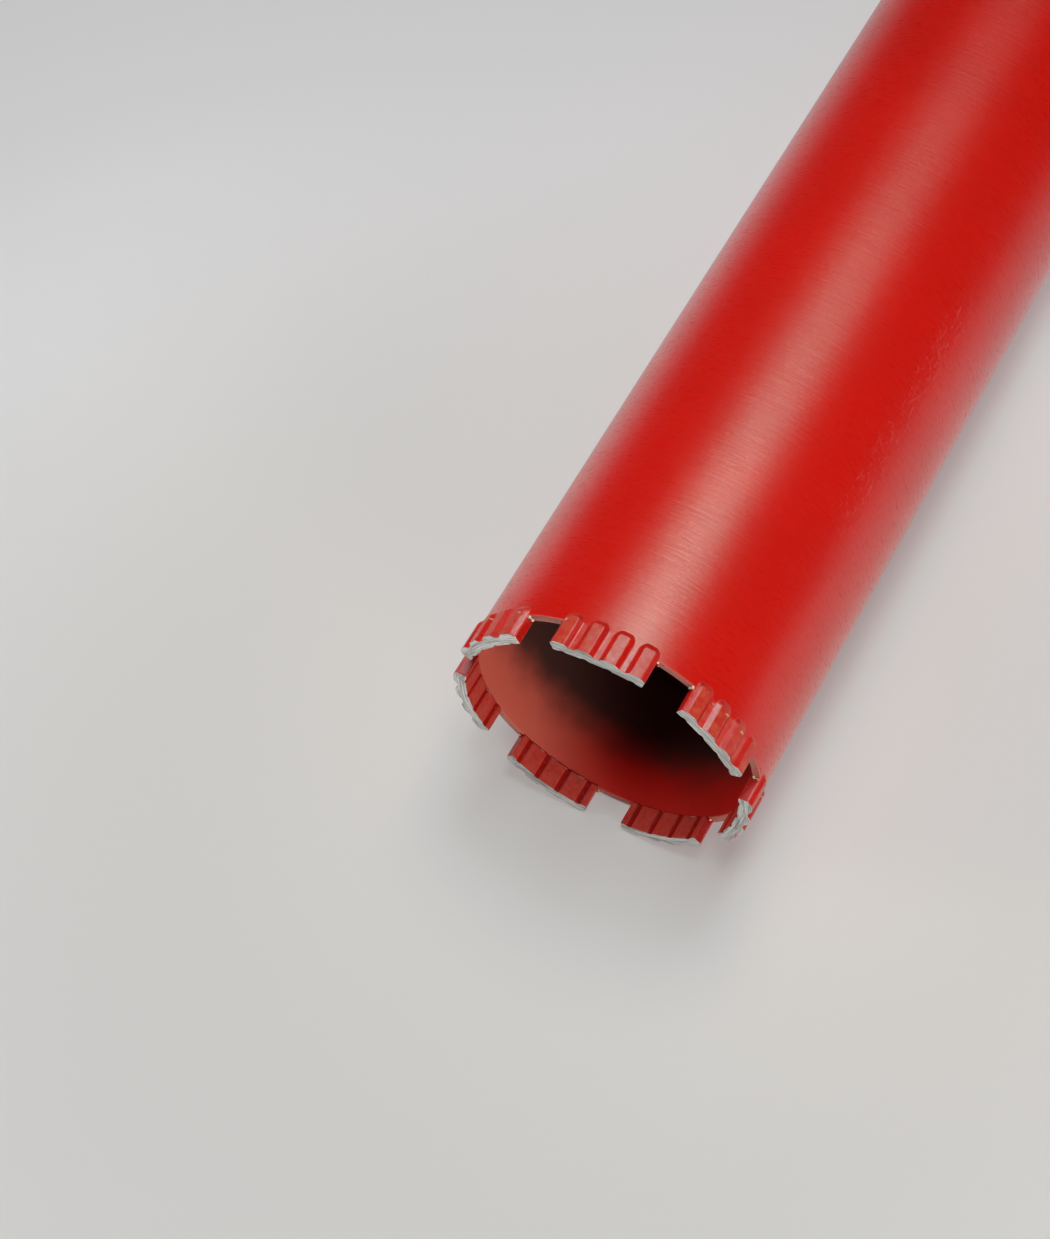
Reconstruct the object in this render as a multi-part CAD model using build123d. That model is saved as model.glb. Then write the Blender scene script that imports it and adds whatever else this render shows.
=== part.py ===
"""Diamond core drill bit for wet drilling in concrete.

A thin steel tube carries a crown of ribbed diamond segments, each on a
diamond-free foot that is silver-brazed to the tube's rim. The other end is
closed by a welded end plate, and a hexagonal hub with a female thread is
welded to the plate, to screw on a drill spindle.

Every piece is modelled along the bit's axis, with the cutting face at z = 0
and the hub upwards. At the end each piece is laid down into the row frame:
origin at the centre of the hub's mouth face, +Y along the axis out of the
hub, +Z up, and the first segment on top.
"""

import math
import os

from build123d import *

# ---- Driving dimensions, in millimetres and degrees --------------------------

# barrel
drilling_depth = 450.0  # cutting face to the end plate's inner face
tube_outer_diameter = 76.0
tube_wall = 2.0

# crown
segment_count = 7
segment_length = 24.0  # arc on the tube's outer diameter
outer_proud = 1.0  # rib tops stand this far outside the tube
inner_proud = 0.4  # inner lands stand this far inside the tube
diamond_height = 5.0  # diamond-bearing layer left on the segment
foot_height = 1.6  # diamond-free layer under it
braze_gap = 0.2  # silver braze between foot and rim

# ribs outside one segment, and the narrow grooves behind them
rib_count = 4
rib_flank = 1.2
rib_height = 0.95
groove_floor = 1.3  # flat between two ribs
inner_groove_floor = 0.9
inner_groove_flank = 0.6
inner_groove_depth = 0.35

# braze fillets that climb the tube wall past the rim
cap_straight = 1.2  # a rib's full height goes on this far
cap_slope = 1.5  # then it slopes down to the tube over this length
inner_fillet_height = 0.5

# end plate and its weld
plate_thickness = 6.0
plate_spigot_height = 4.0
plate_spigot_clearance = 0.1
plate_edge_radius = 1.0
weld_groove = 1.5
weld_crown = 0.7

# hub and its weld
hub_collar_diameter = 48.0
hub_collar_height = 4.0
hub_across_flats = 41.0
hub_hex_height = 27.0
hub_corner_chamfer = 2.2
hub_spigot_diameter = 36.0
hub_spigot_clearance = 0.05
hub_weld_leg = 3.5
thread_minor_diameter = 28.2  # 1 1/4 in - 7 UNC, female
thread_length = 25.0
thread_mouth_chamfer = 1.8
water_passage_diameter = 24.0

# ---- Derived sizes and levels -------------------------------------------------

tube_radius = tube_outer_diameter / 2
bore_radius = tube_radius - tube_wall
crown_radius = tube_radius + outer_proud
crown_inner_radius = bore_radius - inner_proud
groove_radius = crown_radius - rib_height
inner_groove_radius = crown_inner_radius + inner_groove_depth
segment_angle = math.degrees(segment_length / tube_radius)
segment_pitch = 360.0 / segment_count
first_segment_angle = -90.0  # turns the first segment to the top of the laid-down bit

foot_level = diamond_height
foot_top = foot_level + foot_height
rim_level = foot_top + braze_gap
plate_inner_level = drilling_depth
tube_end = plate_inner_level + plate_spigot_height
plate_top = tube_end + plate_thickness
collar_top = plate_top + hub_collar_height
mouth_level = collar_top + hub_hex_height
thread_bottom = mouth_level - thread_mouth_chamfer - thread_length

rib_tops = segment_length - 2 * rib_count * rib_flank - (rib_count - 1) * groove_floor
rib_top = rib_tops / rib_count
rib_pitch = rib_top + 2 * rib_flank + groove_floor
rib_centres = [(i - (rib_count - 1) / 2) * rib_pitch for i in range(rib_count)]


# ---- Helpers ------------------------------------------------------------------


def polar(arc, radius):
    """The point at an arc length along the tube's outside, at a radius."""
    angle = arc / tube_radius
    return (radius * math.cos(angle), radius * math.sin(angle))


def polar_edge(start, end):
    """A straight flank, or an arc about the axis where both ends share a radius."""
    (arc_a, radius_a), (arc_b, radius_b) = start, end
    if math.isclose(radius_a, radius_b):
        middle = polar((arc_a + arc_b) / 2, radius_a)
        return ThreePointArc(polar(*start), middle, polar(*end))
    return Line(polar(*start), polar(*end))


def turned(points):
    """A solid of revolution about the axis from (radius, height) points."""
    outline = Polyline(*[(r, 0, z) for r, z in points], close=True)
    return revolve(make_face(outline), Axis.Z)


def disc(radius, bottom, top):
    """A plain cylinder about the axis between two heights."""
    return extrude(Pos(0, 0, bottom) * Circle(radius), top - bottom)


# ---- Crown --------------------------------------------------------------------


def trapezoid(centre, top_width, flank, foot_radius, top_radius):
    """Four (arc, radius) points over a rib, or over a groove if the top is nearer the axis."""
    half = top_width / 2
    return [
        (centre - half - flank, foot_radius),
        (centre - half, top_radius),
        (centre + half, top_radius),
        (centre + half + flank, foot_radius),
    ]


def segment_face():
    """The section of one segment across the axis, centred on +X."""
    outside = []
    inside = [(-segment_length / 2, crown_inner_radius)]
    for centre in rib_centres:
        outside += trapezoid(centre, rib_top, rib_flank, groove_radius, crown_radius)
        inside += trapezoid(
            centre, inner_groove_floor, inner_groove_flank, crown_inner_radius, inner_groove_radius
        )
    inside.append((segment_length / 2, crown_inner_radius))
    loop = outside + inside[::-1]
    edges = [polar_edge(a, b) for a, b in zip(loop, loop[1:] + loop[:1])]
    return make_face(edges)


def segment_slice(bottom, top):
    return extrude(Pos(0, 0, bottom) * segment_face(), top - bottom)


def rib_cap(centre):
    """A fillet of braze that runs from a rib's end up the tube's outside."""
    root_radius = tube_radius - 2 * outer_proud
    corners = trapezoid(centre, rib_top, rib_flank, groove_radius, crown_radius)
    half = rib_top / 2 + rib_flank
    corners += [(centre + half, root_radius), (centre - half, root_radius)]
    section = make_face(Polyline(*[polar(*corner) for corner in corners], close=True))
    straight = extrude(Pos(0, 0, rim_level) * section, cap_straight)
    draft = math.degrees(math.atan2(outer_proud, cap_slope))
    sloping = extrude(Pos(0, 0, rim_level + cap_straight) * section, cap_slope, taper=draft)
    return straight + sloping - disc(tube_radius, rim_level, tube_end)


def inner_fillet():
    """A wedge of braze in the corner between the segment's inside and the bore."""
    wedge = Polyline(
        (bore_radius, 0, rim_level),
        (crown_inner_radius, 0, rim_level),
        (bore_radius, 0, rim_level + inner_fillet_height),
        close=True,
    )
    start = Rot(0, 0, -segment_angle / 2) * make_face(wedge)
    return revolve(start, Axis.Z, segment_angle)


def braze_joint():
    """The braze between one foot and the rim, with its fillets on both sides."""
    joint = segment_slice(foot_top, rim_level)
    for centre in rib_centres:
        joint += rib_cap(centre)
    return joint + inner_fillet()


# ---- Barrel and drive end -----------------------------------------------------


def barrel_tube():
    return turned(
        [
            (bore_radius, rim_level),
            (tube_radius, rim_level),
            (tube_radius, tube_end - weld_groove),
            (tube_radius - weld_groove, tube_end),
            (bore_radius, tube_end),
        ]
    )


def end_plate():
    spigot_radius = bore_radius - plate_spigot_clearance
    seat_radius = hub_spigot_diameter / 2 + hub_spigot_clearance
    plate = turned(
        [
            (seat_radius, plate_inner_level),
            (spigot_radius, plate_inner_level),
            (spigot_radius, tube_end),
            (tube_radius - weld_groove, tube_end),
            (tube_radius, tube_end + weld_groove),
            (tube_radius, plate_top),
            (seat_radius, plate_top),
        ]
    )
    rim = plate.edges().filter_by(GeomType.CIRCLE).group_by(Axis.Z)[-1].sort_by(SortBy.RADIUS)[-1]
    return fillet(rim, plate_edge_radius)


def plate_weld():
    """A bead that fills the groove between tube and end plate, a little proud."""
    low = (tube_radius, 0, tube_end - weld_groove)
    high = (tube_radius, 0, tube_end + weld_groove)
    root = (tube_radius - weld_groove, 0, tube_end)
    crown = (tube_radius + weld_crown, 0, tube_end)
    section = make_face([ThreePointArc(low, crown, high), Line(high, root), Line(root, low)])
    return revolve(section, Axis.Z)


def threaded_hub():
    collar = disc(hub_collar_diameter / 2, plate_top, collar_top)
    spigot = disc(hub_spigot_diameter / 2, plate_inner_level, plate_top)
    hexagon = Pos(0, 0, collar_top) * RegularPolygon(hub_across_flats / 2, 6, major_radius=False)
    hexagon = extrude(hexagon, hub_hex_height)
    corner_radius = hub_across_flats / math.sqrt(3)
    turning = turned(
        [
            (0, collar_top),
            (corner_radius, collar_top),
            (corner_radius, mouth_level - hub_corner_chamfer * math.tan(math.radians(30))),
            (corner_radius - hub_corner_chamfer, mouth_level),
            (0, mouth_level),
        ]
    )
    hub = spigot + collar + (hexagon & turning)
    minor_radius = thread_minor_diameter / 2
    bore = turned(
        [
            (0, plate_inner_level),
            (water_passage_diameter / 2, plate_inner_level),
            (water_passage_diameter / 2, thread_bottom),
            (minor_radius, thread_bottom),
            (minor_radius, mouth_level - thread_mouth_chamfer),
            (minor_radius + thread_mouth_chamfer, mouth_level),
            (0, mouth_level),
        ]
    )
    return hub - bore


def hub_weld():
    """A fillet weld in the corner between the hub's collar and the end plate."""
    collar_radius = hub_collar_diameter / 2
    foot = (collar_radius + hub_weld_leg, 0, plate_top)
    head = (collar_radius, 0, plate_top + hub_weld_leg)
    corner = (collar_radius, 0, plate_top)
    bulge = hub_weld_leg * 0.56
    middle = (collar_radius + bulge, 0, plate_top + bulge)
    section = make_face([ThreePointArc(foot, middle, head), Line(head, corner), Line(corner, foot)])
    return revolve(section, Axis.Z)


# ---- Assembly in the row frame -------------------------------------------------


def laid_down(shape):
    """Turns a piece from the upright axis into the row frame."""
    return Pos(0, -mouth_level, 0) * Rot(-90, 0, 0) * shape


def pieces():
    made = {
        "barrel_tube": barrel_tube(),
        "end_plate": end_plate(),
        "end_plate_weld": plate_weld(),
        "threaded_hub": threaded_hub(),
        "hub_weld": hub_weld(),
    }
    diamond = segment_slice(0, foot_level)
    foot = segment_slice(foot_level, foot_top)
    braze = braze_joint()
    for k in range(segment_count):
        turn = Rot(0, 0, first_segment_angle + k * segment_pitch)
        made[f"diamond_segment_{k + 1}"] = turn * diamond
        made[f"segment_foot_{k + 1}"] = turn * foot
        made[f"braze_joint_{k + 1}"] = turn * braze
    return made


os.makedirs("parts", exist_ok=True)
for name, shape in pieces().items():
    export_step(laid_down(shape), f"parts/{name}.step")
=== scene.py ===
"""Looks of the diamond core drill bit: detailed meshes, procedural materials, light and camera.

Lengths are in metres in the row frame: +Y runs along the bit's axis out of the
hub's mouth, the crown is at the -Y end, +Z is up and the bit lies on its side.
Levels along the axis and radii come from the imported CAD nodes.
"""

import math

import bmesh
import bpy
import numpy as np
from mathutils import Matrix, Vector, noise


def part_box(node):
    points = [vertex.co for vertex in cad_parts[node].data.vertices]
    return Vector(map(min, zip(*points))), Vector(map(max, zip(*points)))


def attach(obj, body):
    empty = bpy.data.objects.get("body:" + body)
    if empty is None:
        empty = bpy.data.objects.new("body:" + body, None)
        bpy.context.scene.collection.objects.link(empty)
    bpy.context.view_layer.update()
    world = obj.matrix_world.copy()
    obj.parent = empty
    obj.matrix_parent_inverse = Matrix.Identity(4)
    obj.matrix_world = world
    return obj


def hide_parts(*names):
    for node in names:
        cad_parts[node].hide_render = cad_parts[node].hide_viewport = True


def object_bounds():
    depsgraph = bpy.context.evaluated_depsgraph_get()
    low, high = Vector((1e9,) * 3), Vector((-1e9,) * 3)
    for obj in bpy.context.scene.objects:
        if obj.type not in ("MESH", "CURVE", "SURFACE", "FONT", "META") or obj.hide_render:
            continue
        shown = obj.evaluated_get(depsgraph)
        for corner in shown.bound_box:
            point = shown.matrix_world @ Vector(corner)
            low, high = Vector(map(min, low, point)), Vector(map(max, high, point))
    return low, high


MM = 0.001

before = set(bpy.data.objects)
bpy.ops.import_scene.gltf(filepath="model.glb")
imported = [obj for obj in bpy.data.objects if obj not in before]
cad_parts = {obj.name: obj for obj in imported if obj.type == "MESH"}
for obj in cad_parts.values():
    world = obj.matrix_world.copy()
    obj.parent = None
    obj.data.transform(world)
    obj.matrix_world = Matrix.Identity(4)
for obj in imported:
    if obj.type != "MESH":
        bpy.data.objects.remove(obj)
cad_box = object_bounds()

# ---- Levels and radii, from the CAD nodes --------------------------------------

TUBE_LOW, TUBE_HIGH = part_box("barrel_tube")
PLATE_LOW, PLATE_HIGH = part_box("end_plate")
HUB_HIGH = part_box("threaded_hub")[1]
HUB_WELD_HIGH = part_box("hub_weld")[1]
BRAZE_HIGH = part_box("braze_joint_1")[1]
FOOT_LOW, FOOT_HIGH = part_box("segment_foot_1")
DIAMOND_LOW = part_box("diamond_segment_1")[0]

TUBE_RADIUS = TUBE_HIGH.x
RIM_Y = TUBE_LOW.y
TUBE_END_Y = TUBE_HIGH.y
CUT_Y = DIAMOND_LOW.y
FOOT_Y = FOOT_LOW.y
FOOT_TOP_Y = FOOT_HIGH.y
CAP_TOP_Y = BRAZE_HIGH.y
PLATE_INNER_Y = PLATE_LOW.y
PLATE_TOP_Y = PLATE_HIGH.y
COLLAR_RADIUS = HUB_HIGH.x
MOUTH_Y = HUB_HIGH.y

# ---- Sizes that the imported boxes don't give, as in the CAD source --------------

TUBE_WALL = 2.0 * MM
BORE_RADIUS = TUBE_RADIUS - TUBE_WALL
SEGMENT_COUNT = 7
SEGMENT_LENGTH = 24.0 * MM
OUTER_PROUD = 1.0 * MM
INNER_PROUD = 0.4 * MM
CROWN_RADIUS = TUBE_RADIUS + OUTER_PROUD
INNER_RADIUS = BORE_RADIUS - INNER_PROUD
RIB_COUNT = 4
RIB_FLANK = 1.2 * MM
GROOVE_FLOOR = 1.3 * MM
RIB_TOPS = SEGMENT_LENGTH - 2 * RIB_COUNT * RIB_FLANK - (RIB_COUNT - 1) * GROOVE_FLOOR
RIB_TOP = RIB_TOPS / RIB_COUNT
RIB_HEIGHT = 0.95 * MM
GROOVE_RADIUS = CROWN_RADIUS - RIB_HEIGHT
INNER_GROOVE_FLOOR = 0.9 * MM
INNER_GROOVE_FLANK = 0.6 * MM
INNER_GROOVE_DEPTH = 0.35 * MM
CAP_STRAIGHT = 1.2 * MM
CAP_SLOPE = 1.5 * MM
INNER_FILLET = 0.5 * MM
RIB_PITCH = RIB_TOP + 2 * RIB_FLANK + GROOVE_FLOOR
RIB_CENTRES = [(i - (RIB_COUNT - 1) / 2) * RIB_PITCH for i in range(RIB_COUNT)]
WELD_GROOVE = 1.5 * MM
WELD_CROWN = 0.7 * MM
SPIGOT_CLEARANCE = 0.1 * MM
HUB_SPIGOT_RADIUS = 18.0 * MM
HUB_SEAT_RADIUS = HUB_SPIGOT_RADIUS + 0.05 * MM
COLLAR_HEIGHT = 4.0 * MM
COLLAR_TOP_Y = PLATE_TOP_Y + COLLAR_HEIGHT
ACROSS_FLATS = 41.0 * MM
CORNER_RADIUS = ACROSS_FLATS / math.sqrt(3)
CORNER_CHAMFER = 2.2 * MM
CORNER_BLUNTING = 0.12 * MM
THREAD_MINOR = 14.1 * MM
THREAD_MAJOR = 15.875 * MM
THREAD_PITCH = 25.4 * MM / 7
THREAD_ROOT_FLAT = 0.25  # shares of the pitch
THREAD_CREST_FLAT = 0.125
THREAD_LENGTH = 25.0 * MM
MOUTH_CHAMFER = 1.8 * MM
MOUTH_RADIUS = THREAD_MINOR + MOUTH_CHAMFER
PASSAGE_RADIUS = 12.0 * MM


# ---- Mesh helpers ---------------------------------------------------------------


def new_piece(name, vertices, faces, material, smooth_angle):
    """A closed mesh object with outward normals, shaded smooth up to an angle."""
    mesh = bpy.data.meshes.new(name)
    mesh.from_pydata([tuple(v) for v in vertices], [], faces)
    made = bmesh.new()
    made.from_mesh(mesh)
    bmesh.ops.recalc_face_normals(made, faces=made.faces)
    made.to_mesh(mesh)
    made.free()
    mesh.polygons.foreach_set("use_smooth", [True] * len(mesh.polygons))
    mesh.set_sharp_from_angle(angle=math.radians(smooth_angle))
    mesh.materials.append(material)
    piece = bpy.data.objects.new(name, mesh)
    bpy.context.scene.collection.objects.link(piece)
    return piece


def stand_in_for(piece, node):
    """The piece rides the one body and hides the CAD node it stands in for."""
    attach(piece, "root")
    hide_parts(node)
    return piece


def around(radius, angle, y):
    """A point at a radius and an angle from +Z towards +X."""
    return Vector((radius * math.sin(angle), y, radius * math.cos(angle)))


def lofted(outlines, ring):
    """Vertices and faces through outlines of equal length; a ring joins the last to the first."""
    count = len(outlines[0])
    vertices = [point for outline in outlines for point in outline]
    faces = []
    for i in range(len(outlines) if ring else len(outlines) - 1):
        a = i * count
        b = (i + 1) % len(outlines) * count
        for j in range(count):
            k = (j + 1) % count
            faces.append((a + j, a + k, b + k, b + j))
    return vertices, faces


def turned(name, profile, steps, material, smooth_angle):
    """A closed ring turned about Y from one (radius, y) outline, or one made for each angle."""
    outlines = []
    for i in range(steps):
        angle = 2 * math.pi * i / steps
        outline = profile(angle) if callable(profile) else profile
        outlines.append([around(radius, angle, y) for radius, y in outline])
    vertices, faces = lofted(outlines, True)
    return new_piece(name, vertices, faces, material, smooth_angle)


CORNER_SHARE = 0.45  # a rounding takes at most this share of an edge


def rounded(points, radius, steps):
    """A closed (radius, y) outline with each corner rounded by short edges."""
    result = []
    for i in range(len(points)):
        corner = Vector(points[i])
        before = Vector(points[i - 1]) - corner
        after = Vector(points[(i + 1) % len(points)]) - corner
        start = corner + before.normalized() * min(radius, before.length * CORNER_SHARE)
        end = corner + after.normalized() * min(radius, after.length * CORNER_SHARE)
        for s in range(steps + 1):
            t = s / steps
            point = start * (1 - t) ** 2 + corner * 2 * t * (1 - t) + end * t**2
            result.append((point.x, point.y))
    return result


def lumps(point, scale, seed=0.0):
    """Smooth noise from -1 to 1 at a point, with features of a given size."""
    return noise.noise(Vector(point) / scale + Vector((seed, seed * 1.7, -seed)))


# ---- Crown section and arched rib ends ------------------------------------------

ARCH_ROUND = 0.55 * MM  # corner radius of a rib's arched end
SOFTENING = 0.14  # how far the rounding of a flank's corners reaches, as a share of the flank
END_ROUND = 0.25 * MM  # rounding of a segment's two ends
END_WEAR = 0.3 * MM  # how far the cutting face wears back towards its ends
WEAR_START = 1.0 * MM  # the plain sides begin this far from the cutting face
SIDE_STEP = 0.45 * MM  # spacing of the loops up a segment's sides
WEB_REACH = 0.8 * MM  # braze fills the grooves this far past the rim
CLIMB_STEPS = 24
FILLET_STEPS = 8
FILLET_TOE = 0.05 * MM  # how far the inner fillet's thin edge sinks into the tube
CROWN_SAMPLES = 0.4 * MM  # spacing of the points along a segment, and closer at its corners
CORNER_SAMPLES = 0.07 * MM
THROUGH = 7  # points across the grid that closes a segment's end
BURIED = 0.15 * MM  # how far hidden faces of the braze sink into the tube
TUCKED = 0.09 * MM  # how far its edges sink in where they run out
QUARTER = [math.radians(a) for a in (0, 22.5, 45, 67.5, 90)]


def softened(ramp):
    """A 0-to-1 ramp cut off at both ends, its two corners rounded."""

    def area(value):
        return np.where(value < 0, 0, np.where(value < 1, value * value / 2, value - 0.5))

    return (area(ramp + SOFTENING) - area(ramp - SOFTENING)) / (2 * SOFTENING)


def outer_radius(arc, past_rim):
    """The crown's outside at an arc position, with the ribs' arched ends past the rim."""
    rise = np.zeros_like(arc)
    for centre in RIB_CENTRES:
        aside = np.abs(arc - centre) - (RIB_TOP / 2 - ARCH_ROUND)
        beyond = (past_rim - CAP_STRAIGHT) * RIB_FLANK / CAP_SLOPE + ARCH_ROUND
        gap = np.hypot(np.maximum(aside, 0), np.maximum(beyond, 0)) - ARCH_ROUND
        rise = np.maximum(rise, softened(1 - gap / RIB_FLANK))
    return GROOVE_RADIUS + RIB_HEIGHT * rise


def inner_radius(arc):
    """The crown's inside, with a narrow groove behind each rib."""
    rise = np.zeros_like(arc)
    for centre in RIB_CENTRES:
        gap = np.abs(arc - centre) - INNER_GROOVE_FLOOR / 2
        rise = np.maximum(rise, softened(1 - gap / INNER_GROOVE_FLANK))
    return INNER_RADIUS + INNER_GROOVE_DEPTH * rise


def arc_samples():
    """Arc positions along a segment, close together at corners and at its rounded ends."""
    half = SEGMENT_LENGTH / 2
    flat = half - END_ROUND
    samples = list(np.arange(-half, half, CROWN_SAMPLES))
    rib_half = RIB_TOP / 2
    groove_half = INNER_GROOVE_FLOOR / 2
    corners = (rib_half, rib_half + RIB_FLANK, groove_half, groove_half + INNER_GROOVE_FLANK)
    for centre in RIB_CENTRES:
        for corner in corners:
            for k in (-2, -1, 0, 1, 2):
                samples += [centre - corner + k * CORNER_SAMPLES, centre + corner + k * CORNER_SAMPLES]
    kept = [-flat]
    for s in sorted(samples):
        if s - kept[-1] > CORNER_SAMPLES / 2 and s < flat - CORNER_SAMPLES / 2:
            kept.append(s)
    ends = [half - END_ROUND * (1 - math.sin(a)) for a in QUARTER]
    return np.array([-s for s in ends[:0:-1]] + kept + ends)


ARCS = arc_samples()
INTO_ROUND = np.maximum(END_ROUND - (SEGMENT_LENGTH / 2 - np.abs(ARCS)), 0)
END_SHRINK = END_ROUND - np.sqrt(np.maximum(END_ROUND**2 - INTO_ROUND**2, 0))


def segment_angle(index):
    return 2 * math.pi * index / SEGMENT_COUNT


def crown_points(turn, arcs, radii, levels):
    """Points at arcs, radii and levels, each pushed in a little as on sintered metal."""
    points = []
    for arc, radius, level in zip(arcs, radii, levels):
        angle = turn + arc / TUBE_RADIUS
        point = around(radius, angle, level)
        push = 0.02 * MM * (lumps(point, 1.3 * MM) + 0.5 * lumps(point, 0.45 * MM, 5.0) - 1.5)
        points.append(around(radius + push, angle, level))
    return points


def there_and_back(values):
    """Values along the outside, held across one end, back along the inside and across the other."""
    held = THROUGH - 2
    return np.concatenate([values, np.full(held, values[-1]), values[::-1], np.full(held, values[0])])


def section_loop(turn, level, inset_out, inset_in, inset_end, sag):
    """One closed loop of points round a segment's section at a level."""
    arcs = ARCS * (1 - inset_end / (SEGMENT_LENGTH / 2))
    outside = outer_radius(ARCS, CUT_Y - RIM_Y) - END_SHRINK - inset_out
    inside = inner_radius(ARCS) + END_SHRINK + inset_in
    share = np.linspace(0, 1, THROUGH)[1:-1]
    last = outside[-1] + (inside[-1] - outside[-1]) * share
    first = inside[0] + (outside[0] - inside[0]) * share
    loop_radii = np.concatenate([outside, last, inside[::-1], first])
    return crown_points(turn, there_and_back(arcs), loop_radii, level + there_and_back(sag))


def end_grid(loop_start, vertices, faces, dish):
    """Closes a section loop with a grid of faces between its outer and inner sides."""
    count = len(ARCS)
    inner = THROUGH - 2
    grid = np.zeros((count, THROUGH), dtype=int)
    grid[:, 0] = loop_start + np.arange(count)
    grid[-1, 1:-1] = loop_start + count + np.arange(inner)
    grid[:, -1] = loop_start + count + inner + np.arange(count)[::-1]
    grid[0, 1:-1] = loop_start + 2 * count + inner + np.arange(inner)[::-1]
    for i in range(1, count - 1):
        outer_point = Vector(vertices[grid[i, 0]])
        inner_point = Vector(vertices[grid[i, -1]])
        for j in range(1, THROUGH - 1):
            grid[i, j] = len(vertices)
            point = outer_point.lerp(inner_point, j / (THROUGH - 1))
            point.y += dish(point)
            vertices.append(point)
    for i in range(count - 1):
        for j in range(THROUGH - 1):
            faces.append((grid[i, j], grid[i + 1, j], grid[i + 1, j + 1], grid[i, j + 1]))


def worn_loops(index):
    """The loops that round a worn segment's edge over to its cutting face."""
    turn = segment_angle(index)
    rows = [around(TUBE_RADIUS, turn + arc / TUBE_RADIUS, CUT_Y) for arc in ARCS]
    wear_out = np.array([worn_edge(point, index, 11.0) for point in rows])
    wear_in = np.array([worn_edge(point, index, 23.0) for point in rows])
    dip = np.array([ground_dip(point) for point in rows]) + END_WEAR * (ARCS / (SEGMENT_LENGTH / 2)) ** 2
    loops = []
    for a in QUARTER:
        drop = 1 - math.sin(a)
        inset = 1 - math.cos(a)
        sag = dip + (0.6 * wear_out + 0.2 * wear_in) * drop
        ends = 0.2 * MM * inset
        loops.append(section_loop(turn, CUT_Y, wear_out * inset, 0.5 * wear_in * inset, ends, sag))
    return loops


def no_dish(point):
    return 0


def grit_dish(point):
    return 0.02 * MM * abs(lumps(point, 0.5 * MM, 3.0))


def segment_block(name, index, low, high, material, worn):
    """A slice of a segment between two levels; a worn one has a ground, chipped lower face."""
    turn = segment_angle(index)
    flat = np.zeros(len(ARCS))
    steps = max(2, round((high - low) / SIDE_STEP))
    start = low + WEAR_START if worn else low
    loops = []
    for k in range(steps + 1):
        loops.append(section_loop(turn, high + (start - high) * k / steps, flat, flat, 0, flat))
    if worn:
        loops += worn_loops(index)
    vertices, faces = lofted(loops, False)
    end_grid(0, vertices, faces, no_dish)
    end_grid((len(loops) - 1) * len(loops[0]), vertices, faces, grit_dish if worn else no_dish)
    return new_piece(name, vertices, faces, material, 32)


def worn_edge(point, index, seed):
    """How far the cutting face's edge is worn back at a point: a little, and more at chips."""
    base = 0.07 * MM + 0.08 * MM * abs(lumps(point, 3.0 * MM, seed + index))
    chip = max(0.0, lumps(point, 1.2 * MM, seed * 2 + index) - 0.42)
    return min(base + 0.6 * MM * chip, 0.3 * MM)


def ground_dip(point):
    """How far the cutting face lies short of its highest level."""
    return 0.04 * MM * (1 + lumps(point, 6 * MM, 7.0)) + 0.012 * MM * (1 + lumps(point, 1.6 * MM, 9.0))


def climbing_radius(arc, climb, shrink, web_end):
    """The braze's outside at a height past the rim: ribs, the web between them, then the bare tube."""
    radius = outer_radius(np.array([arc]), climb)[0]
    if climb <= 0:
        return radius - shrink
    standing = (radius - GROOVE_RADIUS) / RIB_HEIGHT
    hidden = max(0.0, 1 - standing / 0.08)
    ended = min(1.0, max(0.0, (climb - web_end) / (0.12 * MM)))
    radius -= hidden * ended * (GROOVE_RADIUS - TUBE_RADIUS + TUCKED)
    return max(radius - shrink, TUBE_RADIUS - TUCKED)


def braze_outline(turn, arc, shrink, inside):
    """The braze's (radius, height past the rim) outline at one arc position."""
    under = FOOT_TOP_Y - RIM_Y
    past_top = CAP_TOP_Y - RIM_Y
    ragged = lumps(around(TUBE_RADIUS, turn + arc / TUBE_RADIUS, 0), 0.9 * MM, 4.0)
    web_end = WEB_REACH + 0.15 * MM * ragged
    climbs = [under, 0.0] + [past_top * k / CLIMB_STEPS for k in range(1, CLIMB_STEPS + 1)]
    outline = [(climbing_radius(arc, climb, shrink, web_end), climb) for climb in climbs]
    outline += [
        (TUBE_RADIUS - BURIED, past_top),
        (TUBE_RADIUS - BURIED, 0.02 * MM),
        (BORE_RADIUS + BURIED, 0.02 * MM),
        (BORE_RADIUS + BURIED, INNER_FILLET),
    ]
    toe = BORE_RADIUS + FILLET_TOE
    for k in range(FILLET_STEPS, -1, -1):
        climb = INNER_FILLET * k / FILLET_STEPS
        share = (1 - climb / INNER_FILLET) ** 1.4
        outline.append((toe - (toe - inside) * share, climb))
    return outline + [(inside, under)]


def braze_block(name, index, material):
    """Braze under a foot: thin layer on the rim, arched rib ends outside and a fillet inside."""
    turn = segment_angle(index)
    inside_section = inner_radius(ARCS) + END_SHRINK
    outlines = []
    for arc, shrink, inside in zip(ARCS, END_SHRINK, inside_section):
        outline = braze_outline(turn, arc, shrink, inside)
        radii = [radius for radius, climb in outline]
        levels = [RIM_Y + climb for radius, climb in outline]
        outlines.append(crown_points(turn, [arc] * len(outline), radii, levels))
    vertices, faces = lofted(outlines, False)
    count = len(outlines[0])
    faces.append(tuple(range(count)))
    faces.append(tuple((len(outlines) - 1) * count + j for j in range(count)))
    return new_piece(name, vertices, faces, material, 32)


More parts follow.
